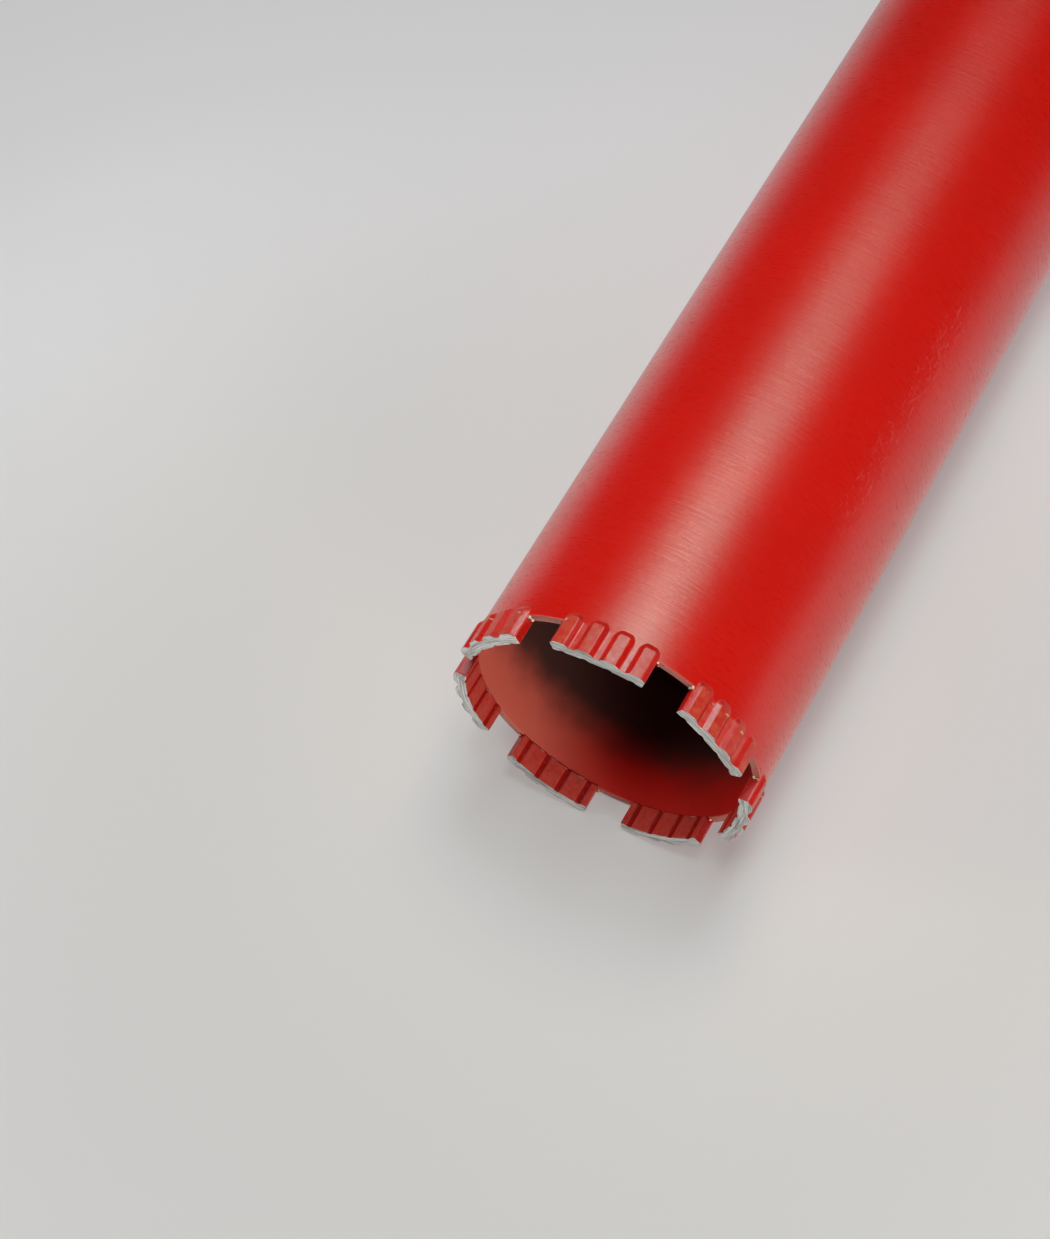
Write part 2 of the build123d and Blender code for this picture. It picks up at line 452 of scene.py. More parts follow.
def bead_shell(centre, size, seed, vertices, faces):
    """Adds a small lumpy closed ball at a point."""
    rows = 8
    columns = 12
    first = len(vertices)
    vertices.append(centre + Vector((0, 0, size)))
    for i in range(1, rows):
        tilt = math.pi * i / rows
        for j in range(columns):
            turn = 2 * math.pi * j / columns
            flat = math.sin(tilt)
            spoke = Vector((flat * math.cos(turn), flat * math.sin(turn), math.cos(tilt)))
            vertices.append(centre + spoke * size * (1 + 0.25 * lumps(spoke, 0.8, seed)))
    vertices.append(centre - Vector((0, 0, size)))
    last = len(vertices) - 1
    for j in range(columns):
        k = (j + 1) % columns
        faces.append((first, first + 1 + j, first + 1 + k))
        faces.append((last, last - columns + k, last - columns + j))
        for i in range(rows - 2):
            a = first + 1 + i * columns
            faces.append((a + j, a + columns + j, a + columns + k, a + k))


def braze_beads(name, index, material):
    """Beads of braze squeezed out on the rim at both ends of a segment."""
    vertices = []
    faces = []
    for side in (-1, 1):
        for place in range(2):
            seed = 3.1 * index + side + 7.3 * place
            size = (0.42 + 0.22 * lumps(Vector((seed, 0.3, 0.7)), 1.0)) * MM
            arc = side * (SEGMENT_LENGTH / 2 + 0.25 * MM * (1 + place))
            angle = segment_angle(index) + arc / TUBE_RADIUS
            radius = BORE_RADIUS + TUBE_WALL * (0.75 - 0.45 * place)
            bead_shell(around(radius, angle, RIM_Y - 0.12 * MM), size, seed, vertices, faces)
    return new_piece(name, vertices, faces, material, 60)


# ---- Shader helpers ----------------------------------------------------------------


class Shader:
    """A material under construction: short calls that add and link nodes."""

    SOCKETS = {
        "colour": "Base Color",
        "metallic": "Metallic",
        "roughness": "Roughness",
        "normal": "Normal",
        "coat": "Coat Weight",
        "coat_roughness": "Coat Roughness",
        "specular": "Specular IOR Level",
        "tint": "Specular Tint",
        "glow": "Emission Strength",
        "glow_colour": "Emission Color",
    }

    def __init__(self, name):
        self.material = bpy.data.materials.new(name)
        self.material.use_nodes = True
        self.tree = self.material.node_tree
        self.bsdf = self.tree.nodes["Principled BSDF"]
        coordinates = self.tree.nodes.new("ShaderNodeTexCoord")
        self.place = coordinates.outputs["Object"]
        self.facing = self.split(coordinates.outputs["Normal"])
        self.x, self.y, self.z = self.split(self.place)
        self.radius = self.hypotenuse(self.x, self.z)
        self.angle = self.math("ARCTAN2", self.x, self.z)
        self.arc = self.math("MULTIPLY", self.angle, TUBE_RADIUS)

    def put(self, socket, value):
        if isinstance(value, bpy.types.NodeSocket):
            self.tree.links.new(value, socket)
        else:
            socket.default_value = value

    def math(self, operation, a, b=0.0, clamp=False):
        node = self.tree.nodes.new("ShaderNodeMath")
        node.operation = operation
        node.use_clamp = clamp
        for socket, value in zip(node.inputs, (a, b)):
            self.put(socket, value)
        return node.outputs[0]

    def hypotenuse(self, a, b):
        return self.math("SQRT", self.math("ADD", self.math("MULTIPLY", a, a), self.math("MULTIPLY", b, b)))

    def distance(self, a, b):
        return self.math("ABSOLUTE", self.math("SUBTRACT", a, b))

    def times(self, *values):
        result = values[0]
        for value in values[1:]:
            result = self.math("MULTIPLY", result, value)
        return result

    def most(self, *values):
        result = values[0]
        for value in values[1:]:
            result = self.math("MAXIMUM", result, value)
        return result

    def ramp(self, value, low, high, out_low=0.0, out_high=1.0):
        node = self.tree.nodes.new("ShaderNodeMapRange")
        node.interpolation_type = "SMOOTHSTEP"
        self.put(node.inputs["Value"], value)
        node.inputs["From Min"].default_value = low
        node.inputs["From Max"].default_value = high
        node.inputs["To Min"].default_value = out_low
        node.inputs["To Max"].default_value = out_high
        return node.outputs["Result"]

    def mix(self, factor, a, b):
        node = self.tree.nodes.new("ShaderNodeMix")
        node.data_type = "RGBA"
        self.put(node.inputs["Factor"], factor)
        self.put(node.inputs[6], a)
        self.put(node.inputs[7], b)
        return node.outputs[2]

    def split(self, vector):
        node = self.tree.nodes.new("ShaderNodeSeparateXYZ")
        self.put(node.inputs[0], vector)
        return node.outputs

    def join(self, x, y, z):
        node = self.tree.nodes.new("ShaderNodeCombineXYZ")
        for socket, value in zip(node.inputs, (x, y, z)):
            self.put(socket, value)
        return node.outputs[0]

    def stretched(self, across, along, depth):
        """Coordinates round the bit, along it and outwards, in units of given feature sizes."""
        return self.join(
            self.math("DIVIDE", self.arc, across),
            self.math("DIVIDE", self.y, along),
            self.math("DIVIDE", self.radius, depth),
        )

    def noise(self, vector, scale=1.0, detail=2.0, roughness=0.5):
        node = self.tree.nodes.new("ShaderNodeTexNoise")
        self.put(node.inputs["Vector"], vector)
        node.inputs["Scale"].default_value = scale
        node.inputs["Detail"].default_value = detail
        node.inputs["Roughness"].default_value = roughness
        return node.outputs["Fac"]

    def bump(self, height, distance, normal=None):
        node = self.tree.nodes.new("ShaderNodeBump")
        node.inputs["Strength"].default_value = 1.0
        node.inputs["Distance"].default_value = distance
        self.put(node.inputs["Height"], height)
        if normal is not None:
            self.put(node.inputs["Normal"], normal)
        return node.outputs["Normal"]

    def set(self, **values):
        for key, value in values.items():
            self.put(self.bsdf.inputs[self.SOCKETS[key]], value)
        return self.material


def colour(red, green, blue):
    return (red, green, blue, 1.0)


# ---- Materials ---------------------------------------------------------------------

RED = colour(0.50, 0.003, 0.001)
DARK_RED = colour(0.38, 0.002, 0.001)
SHEEN_AND_DUST_RED = colour(0.52, 0.075, 0.05)
PALE_PRIMER = colour(0.55, 0.36, 0.28)
BARE_STEEL = colour(0.55, 0.54, 0.51)
BORE_SHADE_DARK = colour(0.055, 0.018, 0.014)
RIM_FACE_SHADE = colour(0.27, 0.07, 0.05)
PAINTED_SHADE_RED = colour(0.26, 0.003, 0.001)
BROWN_DUST = colour(0.38, 0.07, 0.03)
PALE_FLOOR_SHEEN = colour(0.58, 0.22, 0.15)
BRASS = colour(0.75, 0.58, 0.36)
WARM_TINT = colour(1.0, 0.90, 0.74)
ENAMEL_SHADE = colour(0.45, 0.003, 0.001)
BRUSHED_CREST = colour(0.60, 0.03, 0.016)
PAINTED_SHEEN_INSIDE = colour(0.62, 0.105, 0.068)
PALE_GRAIN = colour(0.60, 0.17, 0.11)
SCRATCH_DARK = colour(0.22, 0.215, 0.20)
SCRATCH_BRIGHT = colour(0.80, 0.81, 0.79)
BAND_GREY = colour(0.17, 0.16, 0.14)
PIT_BROWN = colour(0.14, 0.12, 0.10)
SILVER_ALLOY = colour(0.80, 0.70, 0.50)
THIN_PAINT = colour(0.25, 0.03, 0.02)
TURNED_GREY = colour(0.40, 0.39, 0.37)
STEEL_STAIN = colour(0.22, 0.17, 0.13)
FLOOR_GREY = colour(0.66, 0.66, 0.67)
FLOOR_PALE = colour(0.70, 0.70, 0.71)
FLOOR_SLAB_AND_SHADE = colour(0.47, 0.455, 0.42)

BRUSH_CREST = 0.12  # angle of the tube's line where the brushed streaks are deepest
SCUFF_ANGLE = 0.89
SCUFF_Y = RIM_Y + 95 * MM
CROWN_SPECULAR = 0.35


def enamelled_tube():
    """Glossy red enamel over a tube that was brushed round and round."""
    s = Shader("enamelled_tube")
    fine = s.noise(s.stretched(2.6 * MM, 0.22 * MM, 5 * MM), detail=4.0, roughness=0.65)
    broad = s.noise(s.stretched(14 * MM, 0.9 * MM, 5 * MM), detail=2.0)
    cloud = s.noise(s.place, 35.0, 3.0)
    specks = s.ramp(s.noise(s.place, 900.0, 1.0), 0.76, 0.82)
    scuffed = s.times(
        s.ramp(s.distance(s.angle, SCUFF_ANGLE), 0.05, 0.14, 1.0, 0.0),
        s.ramp(s.distance(s.y, SCUFF_Y), 25 * MM, 50 * MM, 1.0, 0.0),
    )
    dimples = s.noise(s.stretched(1.2 * MM, 2.0 * MM, 5 * MM), detail=3.0)
    dents = s.times(scuffed, s.ramp(dimples, 0.52, 0.66))
    inside = s.ramp(s.radius, BORE_RADIUS + 0.3 * MM, BORE_RADIUS + 0.8 * MM, 1.0, 0.0)
    rim_wear = s.times(
        s.ramp(s.y, RIM_Y, RIM_Y + 0.45 * MM, 1.0, 0.0),
        s.ramp(s.noise(s.place, 250.0, 2.0), 0.2, 0.6),
    )
    paint = s.mix(s.ramp(cloud, 0.35, 0.7), RED, ENAMEL_SHADE)
    paint = s.mix(s.times(s.ramp(fine, 0.55, 0.75), 0.25), paint, BRUSHED_CREST)
    # painted sheen: inside the bore, the left side towards -X is mixed towards a paler pink that stands for
    # light falling on that wall
    painted_light_patch = s.times(inside, s.ramp(s.x, 0.0, -26 * MM, 0.0, 0.9))
    paint = s.mix(painted_light_patch, paint, PAINTED_SHEEN_INSIDE)
    # painted shade: deeper in the bore, from about 6 to 20 mm past the rim with a wandering edge, the
    # colour is darkened to near black
    drift = s.times(s.math("SUBTRACT", s.noise(s.place, 120.0, 3.0), 0.5), 8 * MM)
    depth = s.math("ADD", s.math("SUBTRACT", s.y, RIM_Y), drift)
    deep_bore_shade = s.times(inside, s.ramp(depth, 6 * MM, 20 * MM))
    paint = s.mix(deep_bore_shade, paint, BORE_SHADE_DARK)
    paint = s.mix(s.times(specks, 0.5), paint, DARK_RED)
    paint = s.mix(s.times(rim_wear, 0.25), paint, PALE_PRIMER)
    # painted shade: the rim's end face, turned towards -Y, is mixed towards a dull brown
    rim_face = s.ramp(s.facing[1], -0.5, -0.9)
    paint = s.mix(s.times(rim_face, 0.8), paint, RIM_FACE_SHADE)
    off_crest = s.distance(s.angle, BRUSH_CREST)
    streaks = s.math("ADD", s.times(fine, 0.8), s.times(broad, 0.6))
    streaks = s.times(streaks, s.ramp(off_crest, 0.35, 0.8, 1.0, 0.25))
    normal = s.bump(streaks, 0.07 * MM)
    normal = s.bump(s.noise(s.place, 900.0, 2.0), 0.004 * MM, normal)
    normal = s.bump(dents, 0.08 * MM, normal)
    roughness = s.math("ADD", s.ramp(fine, 0.3, 0.7, 0.26, 0.34), s.times(inside, 0.2))
    return s.set(colour=paint, roughness=roughness, normal=normal, tint=WARM_TINT, specular=0.41)


def painted_crown(name, worn, brassy):
    """Red spray over sintered metal; a worn one has its cutting face ground bare."""
    s = Shader(name)
    grain = s.noise(s.place, 1500.0, 3.0, 0.6)
    coarse = s.noise(s.place, 700.0, 3.0, 0.65)
    patch = s.noise(s.place, 260.0, 3.0)
    outside = s.ramp(s.radius, TUBE_RADIUS - 0.6 * MM, TUBE_RADIUS - 0.2 * MM)
    floor = s.times(outside, s.ramp(s.radius, GROOVE_RADIUS + 0.2 * MM, GROOVE_RADIUS + 0.02 * MM))
    top = s.ramp(s.radius, CROWN_RADIUS - 0.22 * MM, CROWN_RADIUS - 0.10 * MM)
    flank = s.times(outside, s.math("SUBTRACT", s.math("SUBTRACT", 1.0, floor), top, clamp=True))
    within = s.math("SUBTRACT", 1.0, outside)
    paint = s.mix(s.ramp(patch, 0.35, 0.7), RED, DARK_RED)
    # painted shade: the flanks are darkened in patches, and the faces past the crown turned towards +Y are
    # darkened more
    beyond_crown = s.times(outside, s.ramp(s.facing[1], 0.25, 0.5))
    paint = s.mix(s.times(flank, s.ramp(patch, 0.3, 0.6, 0.1, 0.4)), paint, PAINTED_SHADE_RED)
    paint = s.mix(s.times(beyond_crown, 0.6), paint, PAINTED_SHADE_RED)
    # painted highlight: the groove floors take a little pale pink that stands for their sheen
    paint = s.mix(s.times(floor, s.ramp(coarse, 0.3, 0.6, 0.02, 0.16)), paint, PALE_FLOOR_SHEEN)
    # painted shade: the rib tops are half mixed towards the darker red
    paint = s.mix(s.times(top, 0.5), paint, DARK_RED)
    paint = s.mix(s.times(top, s.ramp(coarse, 0.40, 0.65, 0.1, 0.6)), paint, BROWN_DUST)
    # painted light on the inner lands, which turn paler pink in patches, and painted shade in the inner
    # grooves, which are darkened
    land = s.times(within, s.ramp(s.radius, INNER_RADIUS + 0.25 * MM, INNER_RADIUS + 0.1 * MM))
    trough = s.times(within, s.ramp(s.radius, INNER_RADIUS + 0.12 * MM, INNER_RADIUS + 0.3 * MM))
    paint = s.mix(s.times(land, s.ramp(coarse, 0.3, 0.6, 0.35, 0.7)), paint, SHEEN_AND_DUST_RED)
    paint = s.mix(s.times(trough, 0.8), paint, PAINTED_SHADE_RED)
    paint = s.mix(s.times(s.ramp(grain, 0.62, 0.75), 0.4), paint, PALE_GRAIN)
    bump = s.bump(grain, 0.03 * MM)
    bump = s.bump(coarse, 0.08 * MM, bump)
    bump = s.bump(patch, 0.12 * MM, bump)
    roughness = s.math("SUBTRACT", s.ramp(grain, 0.3, 0.7, 0.34, 0.5), s.times(s.most(flank, floor), 0.07))
    if brassy:
        missed = s.times(
            s.ramp(s.noise(s.place, 420.0, 2.0), 0.60, 0.66),
            s.ramp(s.distance(s.y, RIM_Y), 0.45 * MM, 0.15 * MM),
        )
        s.set(colour=s.mix(missed, paint, BRASS), metallic=s.times(missed, 0.8))
        return s.set(roughness=roughness, normal=bump, specular=CROWN_SPECULAR)
    if not worn:
        return s.set(colour=paint, roughness=roughness, normal=bump, specular=CROWN_SPECULAR)
    ragged = s.noise(s.stretched(0.9 * MM, 0.7 * MM, 0.9 * MM), detail=4.0, roughness=0.65)
    ragged = s.times(s.math("SUBTRACT", ragged, 0.5), 0.45)
    facing_down = s.math("ADD", s.times(s.facing[1], -1.0), ragged)
    bare = s.times(s.ramp(facing_down, 0.30, 0.42), s.ramp(s.y, CUT_Y + 1.3 * MM, CUT_Y + 1.0 * MM))
    scratch = s.noise(s.stretched(9 * MM, 0.8 * MM, 0.14 * MM), detail=3.0, roughness=0.65)
    band = s.noise(s.stretched(6 * MM, 2.0 * MM, 0.9 * MM), detail=2.0)
    pit = s.ramp(s.noise(s.place, 1900.0, 2.0), 0.64, 0.72)
    metal = s.mix(s.ramp(scratch, 0.38, 0.62), SCRATCH_DARK, SCRATCH_BRIGHT)
    metal = s.mix(s.ramp(band, 0.45, 0.70, 0.0, 0.6), metal, BAND_GREY)
    metal = s.mix(s.times(pit, 0.5), metal, PIT_BROWN)
    bump = s.bump(s.times(bare, scratch), 0.06 * MM, bump)
    rough_bare = s.times(bare, s.ramp(scratch, 0.35, 0.65, 0.5, 0.24))
    rough_paint = s.times(s.math("SUBTRACT", 1.0, bare), roughness)
    return s.set(
        colour=s.mix(bare, paint, metal),
        roughness=s.math("ADD", rough_bare, rough_paint),
        metallic=s.times(bare, 0.85),
        normal=bump,
        specular=CROWN_SPECULAR,
    )


def bare_braze():
    """Bright silver braze that ran out at a segment's end and took little paint."""
    s = Shader("bare_braze")
    grain = s.noise(s.place, 900.0, 3.0)
    alloy = s.mix(s.ramp(grain, 0.35, 0.65), SILVER_ALLOY, BRASS)
    alloy = s.mix(s.ramp(s.noise(s.place, 420.0, 2.0), 0.46, 0.56), alloy, RED)
    normal = s.bump(grain, 0.03 * MM)
    return s.set(colour=alloy, metallic=0.7, roughness=0.3, normal=normal)


def painted_turning():
    """Enamel over a turned disc, with faint tool marks in circles."""
    s = Shader("painted_turning")
    marks = s.noise(s.join(s.math("DIVIDE", s.radius, 0.25 * MM), s.math("DIVIDE", s.arc, 60 * MM), 0.0))
    cloud = s.noise(s.place, 60.0, 3.0)
    paint = s.mix(s.ramp(cloud, 0.35, 0.7), RED, DARK_RED)
    normal = s.bump(marks, 0.01 * MM)
    normal = s.bump(s.noise(s.place, 800.0, 2.0), 0.01 * MM, normal)
    roughness = s.ramp(marks, 0.3, 0.7, 0.3, 0.4)
    return s.set(colour=paint, roughness=roughness, normal=normal, coat=0.15, coat_roughness=0.2)


def painted_weld():
    """Enamel over a weld bead, thinner and browner in small scattered spots."""
    s = Shader("painted_weld")
    grain = s.noise(s.place, 1300.0, 3.0)
    patch = s.noise(s.place, 240.0, 3.0)
    paint = s.mix(s.ramp(patch, 0.35, 0.7), RED, DARK_RED)
    paint = s.mix(s.times(s.ramp(grain, 0.62, 0.72), 0.4), paint, THIN_PAINT)
    normal = s.bump(grain, 0.03 * MM)
    return s.set(colour=paint, roughness=s.ramp(grain, 0.3, 0.7, 0.3, 0.48), normal=normal)


def hub_finish():
    """Enamel on the hub's outside; turned bare steel on its mouth face and in its thread."""
    s = Shader("hub_finish")
    cloud = s.noise(s.place, 90.0, 3.0)
    grain = s.noise(s.place, 1200.0, 3.0)
    ragged = s.times(s.math("SUBTRACT", s.noise(s.place, 500.0, 3.0), 0.5), 0.8 * MM)
    edge = s.math("ADD", s.y, ragged)
    face = s.ramp(edge, MOUTH_Y - 0.35 * MM, MOUTH_Y - 0.2 * MM)
    bore = s.times(
        s.ramp(s.radius, THREAD_MAJOR + 0.3 * MM, THREAD_MAJOR + 0.1 * MM),
        s.ramp(s.y, PLATE_TOP_Y - 0.5 * MM, PLATE_TOP_Y),
    )
    bare = s.most(face, bore)
    marks = s.noise(s.join(s.math("DIVIDE", s.radius, 0.12 * MM), s.math("DIVIDE", s.y, 0.12 * MM), 0.0))
    steel = s.mix(s.ramp(marks, 0.3, 0.7), TURNED_GREY, BARE_STEEL)
    steel = s.mix(s.times(s.ramp(cloud, 0.5, 0.75), 0.4), steel, STEEL_STAIN)
    paint = s.mix(s.ramp(cloud, 0.35, 0.7), RED, DARK_RED)
    paint = s.mix(s.times(s.ramp(grain, 0.62, 0.75), 0.35), paint, SHEEN_AND_DUST_RED)
    normal = s.bump(s.times(bare, marks), 0.015 * MM)
    normal = s.bump(grain, 0.012 * MM, normal)
    return s.set(
        colour=s.mix(bare, paint, steel),
        metallic=bare,
        roughness=s.ramp(grain, 0.3, 0.7, 0.28, 0.42),
        normal=normal,
    )


TUBE_PAINT = enamelled_tube()
PLATE_PAINT = painted_turning()
WELD_PAINT = painted_weld()
HUB_FINISH = hub_finish()
SEGMENT_FINISH = painted_crown("segment_matrix", True, False)
FOOT_FINISH = painted_crown("segment_foot_paint", False, False)
BRAZE_FINISH = painted_crown("braze_alloy", False, True)
BEAD_FINISH = bare_braze()

# ---- Barrel and drive end ------------------------------------------------------------


def add_barrel():
    steps = 360
    levels = 40
    outside = [
        (TUBE_RADIUS, RIM_Y + (TUBE_END_Y - WELD_GROOVE - RIM_Y) * k / levels) for k in range(levels + 1)
    ]
    inside = [(BORE_RADIUS, TUBE_END_Y + (RIM_Y - TUBE_END_Y) * k / levels) for k in range(levels + 1)]
    outline = outside + [(TUBE_RADIUS - WELD_GROOVE, TUBE_END_Y)] + inside
    profile = rounded(outline, 0.18 * MM, 3)
    piece = turned("barrel", profile, steps, TUBE_PAINT, 40)
    stand_in_for(piece, "barrel_tube")


def add_end_plate():
    spigot = BORE_RADIUS - SPIGOT_CLEARANCE
    outline = [
        (HUB_SEAT_RADIUS, PLATE_INNER_Y),
        (spigot, PLATE_INNER_Y),
        (spigot, TUBE_END_Y),
        (TUBE_RADIUS - WELD_GROOVE, TUBE_END_Y),
        (TUBE_RADIUS, TUBE_END_Y + WELD_GROOVE),
        (TUBE_RADIUS, PLATE_TOP_Y),
        (HUB_SEAT_RADIUS, PLATE_TOP_Y),
    ]
    piece = turned("drive_plate", rounded(outline, 0.8 * MM, 5), 240, PLATE_PAINT, 40)
    stand_in_for(piece, "end_plate")


def bead_ripple(angle, across, radius, pitch, seed):
    """Crescent ripples of a weld bead: -1 to 1 at an angle and a place across the bead."""
    turns = angle * radius / pitch
    wander = 0.35 * noise.noise(Vector((math.cos(angle) * 6, math.sin(angle) * 6, seed)))
    phase = 2 * math.pi * (turns + wander - 0.55 * (1 - (2 * across - 1) ** 2))
    return math.sin(phase) * (0.8 + 0.2 * math.sin(phase * 0.37))


def weld_bead(name, start, end, root, crown, radius, pitch, seed, ripple):
    """A rippled bead between two (radius, y) toes over a root point."""
    turns = round(2 * math.pi * radius / pitch)
    pitch = 2 * math.pi * radius / turns
    across = 14
    middle = (Vector(start) + Vector(end)) / 2
    outward = (Vector(crown) - middle).normalized()
    height = (Vector(crown) - middle).length - ripple

    def profile(angle):
        points = []
        for k in range(across + 1):
            t = k / across
            base = Vector(start).lerp(Vector(end), t)
            arch = 4 * t * (1 - t)
            crescent = ripple * bead_ripple(angle, t, radius, pitch, seed) * min(1.0, 3 * arch)
            point = base + outward * (height * arch**0.8 + crescent)
            points.append((point.x, point.y))
        return points + [tuple(root)]

    return turned(name, profile, turns * 8, WELD_PAINT, 50)


def add_plate_weld():
    low = (TUBE_RADIUS - 0.05 * MM, TUBE_END_Y - WELD_GROOVE)
    high = (TUBE_RADIUS - 0.05 * MM, TUBE_END_Y + WELD_GROOVE)
    root = (TUBE_RADIUS - WELD_GROOVE, TUBE_END_Y)
    crown = (TUBE_RADIUS + WELD_CROWN, TUBE_END_Y)
    piece = weld_bead("drive_plate_weld", low, high, root, crown, TUBE_RADIUS, 1.5 * MM, 3.0, 0.14 * MM)
    stand_in_for(piece, "end_plate_weld")


def add_hub_weld():
    leg = HUB_WELD_HIGH.y - PLATE_TOP_Y
    foot = (COLLAR_RADIUS + leg, PLATE_TOP_Y)
    head = (COLLAR_RADIUS, PLATE_TOP_Y + leg)
    root = (COLLAR_RADIUS - 0.05 * MM, PLATE_TOP_Y - 0.05 * MM)
    crown = (COLLAR_RADIUS + 0.56 * leg, PLATE_TOP_Y + 0.56 * leg)
    piece = weld_bead("drive_hub_weld", foot, head, root, crown, COLLAR_RADIUS, 1.7 * MM, 8.0, 0.16 * MM)
    stand_in_for(piece, "hub_weld")


def hexagon_radius(angle):
    """The hexagon's outside at an angle, corners towards +X and -X, slightly rounded."""
    side = math.radians(60)
    from_flat = (angle + math.radians(90)) % side - side / 2
    plain = ACROSS_FLATS / 2 / math.cos(from_flat)
    return min(plain, CORNER_RADIUS - CORNER_BLUNTING)


def thread_radius(angle, y):
    """The female thread's flank, crest and root at an angle and a level along the axis."""
    place = (y / THREAD_PITCH - angle / (2 * math.pi)) % 1.0
    depth = abs(place - 0.5) * 2
    flank = 1 - THREAD_ROOT_FLAT - THREAD_CREST_FLAT
    ramp = min(1.0, max(0.0, (depth - THREAD_ROOT_FLAT) / flank))
    return THREAD_MAJOR + (THREAD_MINOR - THREAD_MAJOR) * ramp


def add_hub():
    steps = 360
    depth = MOUTH_CHAMFER + THREAD_LENGTH
    thread_bottom = MOUTH_Y - depth
    thread_rows = 190
    chamfer_start = CORNER_RADIUS - CORNER_CHAMFER
    soft = 0.2 * MM

    def profile(angle):
        outer = hexagon_radius(angle)
        crease = MOUTH_Y - max(0.0, outer - chamfer_start) * math.tan(math.radians(30))
        points = [
            (COLLAR_RADIUS, PLATE_TOP_Y + soft),
            (COLLAR_RADIUS, COLLAR_TOP_Y - soft),
            (COLLAR_RADIUS - 0.3 * soft, COLLAR_TOP_Y - 0.3 * soft),
            (COLLAR_RADIUS - soft, COLLAR_TOP_Y),
            (outer + soft, COLLAR_TOP_Y),
            (outer + 0.3 * soft, COLLAR_TOP_Y + 0.3 * soft),
            (outer, COLLAR_TOP_Y + soft),
            (outer, (COLLAR_TOP_Y + MOUTH_Y) / 2),
            (outer, crease - soft),
            (outer - 0.1 * soft, crease - 0.4 * soft),
            (min(outer, chamfer_start) + 0.1 * soft, MOUTH_Y - 0.4 * soft),
            (min(outer, chamfer_start) - 0.4 * soft, MOUTH_Y - 0.05 * soft),
            (min(outer, chamfer_start) - soft, MOUTH_Y),
            (MOUTH_RADIUS + soft, MOUTH_Y),
        ]
        for k in range(thread_rows + 1):
            y = MOUTH_Y - depth * k / thread_rows
            cone = MOUTH_RADIUS - (MOUTH_Y - y)
            fade = min(1.0, max(0.0, (y - thread_bottom) / THREAD_PITCH))
            cut = THREAD_MINOR + (thread_radius(angle, y) - THREAD_MINOR) * fade
            points.append((max(cone, cut), y))
        points += [
            (PASSAGE_RADIUS + soft, thread_bottom),
            (PASSAGE_RADIUS, thread_bottom - soft),
            (PASSAGE_RADIUS, PLATE_INNER_Y + soft),
            (PASSAGE_RADIUS + soft, PLATE_INNER_Y),
            (HUB_SPIGOT_RADIUS - soft, PLATE_INNER_Y),
            (HUB_SPIGOT_RADIUS, PLATE_INNER_Y + soft),
            (HUB_SPIGOT_RADIUS, PLATE_TOP_Y),
            (HUB_SPIGOT_RADIUS + soft, PLATE_TOP_Y),
            (COLLAR_RADIUS - soft, PLATE_TOP_Y),
        ]
        return points

    piece = turned("drive_hub", profile, steps, HUB_FINISH, 32)
    stand_in_for(piece, "threaded_hub")


def add_crown():
    for index in range(SEGMENT_COUNT):
        number = index + 1
        diamond = segment_block(f"crown_segment_{number}", index, CUT_Y, FOOT_Y, SEGMENT_FINISH, True)
        stand_in_for(diamond, f"diamond_segment_{number}")
        foot = segment_block(f"crown_foot_{number}", index, FOOT_Y, FOOT_TOP_Y, FOOT_FINISH, False)
        stand_in_for(foot, f"segment_foot_{number}")
        braze = braze_block(f"crown_braze_{number}", index, BRAZE_FINISH)
        stand_in_for(braze, f"braze_joint_{number}")
        beads = braze_beads(f"crown_beads_{number}", index, BEAD_FINISH)
        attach(beads, "root")


add_barrel()
add_end_plate()
add_plate_weld()
add_hub()
add_hub_weld()
add_crown()

# ---- Floor, light and camera -----------------------------------------------------------

AZIMUTH = math.radians(32.47)
ELEVATION = math.radians(57.71)
ROLL = math.radians(-4.77)
LENS = 75.0
SENSOR = 36.0
FROM_RIM = Vector((145.3, -262.6, 521.8)) * MM  # the camera's place from the rim's centre


def add_camera():
    data = bpy.data.cameras.new("camera")
    data.lens = LENS
    data.sensor_width = SENSOR
    data.clip_start = 0.01
    data.clip_end = 20.0
    camera = bpy.data.objects.new("camera", data)
    bpy.context.scene.collection.objects.link(camera)
    cos_e = math.cos(ELEVATION)
    back = Vector((math.sin(AZIMUTH) * cos_e, -math.cos(AZIMUTH) * cos_e, math.sin(ELEVATION)))
    level = Vector((math.cos(AZIMUTH), math.sin(AZIMUTH), 0))
    right = level * math.cos(ROLL) + back.cross(level) * math.sin(ROLL)
    up = back.cross(right)
    rotation = Matrix((right, up, back)).transposed()
    camera.matrix_world = Matrix.Translation(Vector((0, RIM_Y, 0)) + FROM_RIM) @ rotation.to_4x4()
    bpy.context.scene.camera = camera


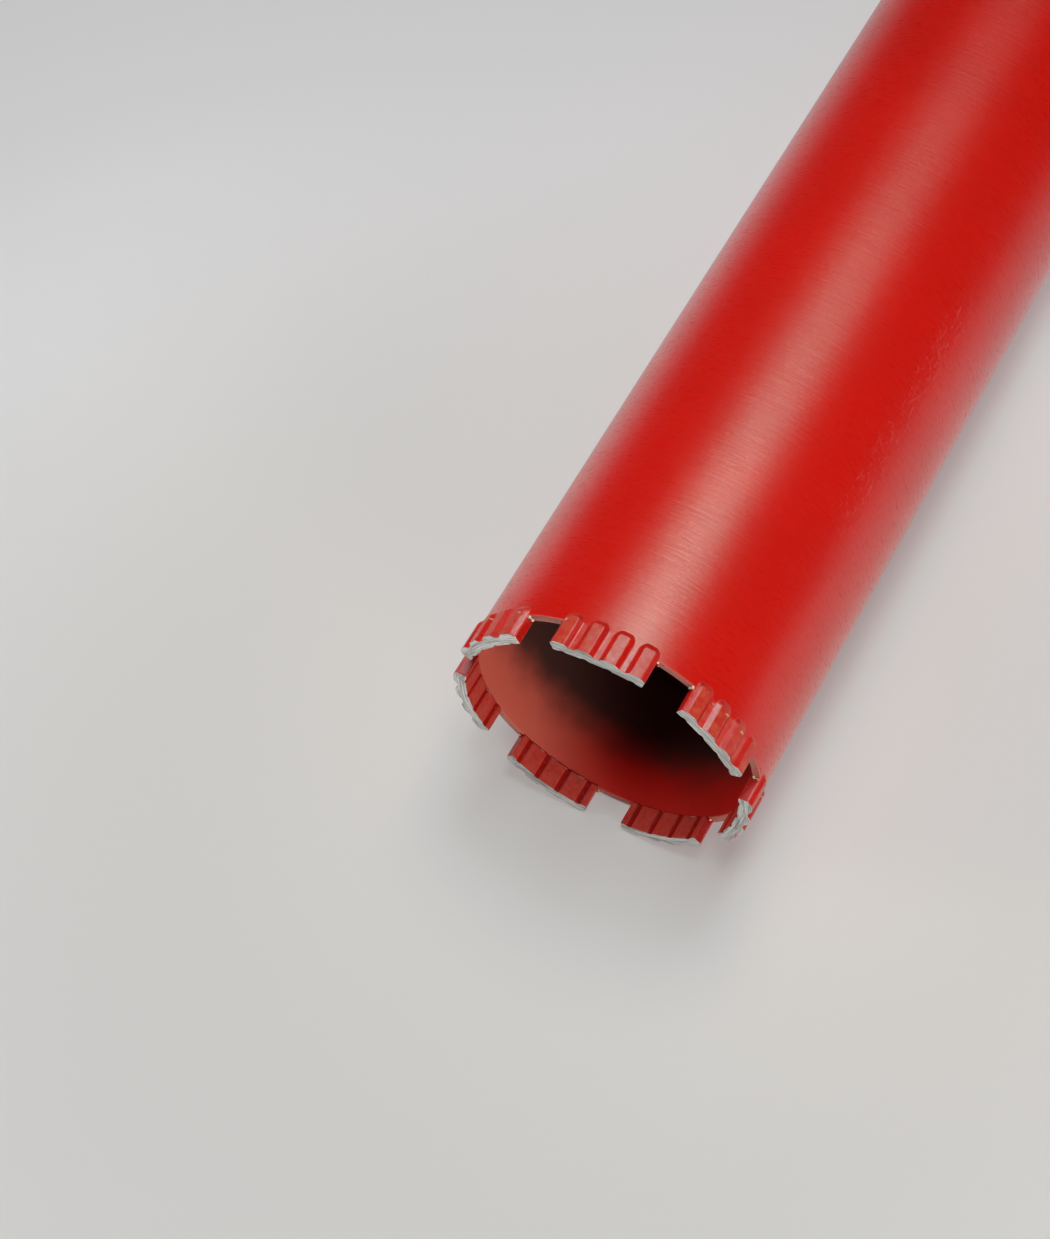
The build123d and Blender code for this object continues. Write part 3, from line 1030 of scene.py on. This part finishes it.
def add_floor():
    s = Shader("floor")
    tone = s.ramp(s.noise(s.place, 3.0, 2.0), 0.3, 0.7)
    pale = s.mix(tone, FLOOR_GREY, FLOOR_PALE)
    # a darker warm grey patch round the crown stands for the slab's colour, and it is painted shade near
    # the bit
    aside = s.math("SUBTRACT", s.y, CUT_Y)
    away = s.hypotenuse(s.x, aside)
    painted_light_patch = s.ramp(away, 90 * MM, 260 * MM, 1.0, 0.0)
    pale = s.mix(painted_light_patch, pale, FLOOR_SLAB_AND_SHADE)
    material = s.set(colour=pale, roughness=0.8, specular=0.2, glow_colour=colour(1, 1, 1), glow=0.20)
    level = cad_box[0].z - 0.05 * MM
    half = 4.0
    corners = [(-half, -half, level), (half, -half, level), (half, half, level), (-half, half, level)]
    mesh = bpy.data.meshes.new("floor")
    mesh.from_pydata(corners, [], [(0, 1, 2, 3)])
    mesh.materials.append(material)
    floor = bpy.data.objects.new("floor", mesh)
    bpy.context.scene.collection.objects.link(floor)


def area_light(name, place, aim_y, size, power, spread=180):
    """A rectangular light that points at a level of the bit's axis."""
    data = bpy.data.lights.new(name, "AREA")
    data.shape = "RECTANGLE"
    data.size, data.size_y = size
    data.energy = power
    data.spread = math.radians(spread)
    light = bpy.data.objects.new(name, data)
    bpy.context.scene.collection.objects.link(light)
    light.location = place
    light.rotation_mode = "QUATERNION"
    aim = Vector((0, aim_y, 0))
    light.rotation_quaternion = (aim - Vector(place)).to_track_quat("-Z", "Y")


def add_world(strength):
    world = bpy.data.worlds.new("world")
    bpy.context.scene.world = world
    world.use_nodes = True
    background = world.node_tree.nodes["Background"]
    background.inputs["Color"].default_value = (1, 1, 1, 1)
    background.inputs["Strength"].default_value = strength


def set_tone():
    """Plain colour, with the brightest tones held back a little."""
    view = bpy.context.scene.view_settings
    view.view_transform = "Standard"
    view.use_curve_mapping = True
    curve = view.curve_mapping.curves[3]
    curve.points.new(0.5, 0.5)
    curve.points.new(0.75, 0.62)
    curve.points[-1].location = (1.0, 0.88)
    view.curve_mapping.update()


add_camera()
add_floor()
add_world(0.05)
area_light("overhead_softbox", (-0.03, -0.09, 0.84), -0.47, (0.5, 0.28), power=0.31, spread=36)
area_light("far_softbox", (-0.03, 0.40, 0.84), -0.25, (0.5, 0.3), power=0.42)
area_light("crown_light", (0.06, -0.44, 0.55), -0.46, (0.35, 0.15), power=1.9)
area_light("side_fill", (0.75, -1.0, 0.12), -0.47, (0.4, 0.3), power=4.6)
area_light("left_fill", (-1.1, -1.0, 0.5), -0.45, (0.5, 0.5), power=4.4)
set_tone()
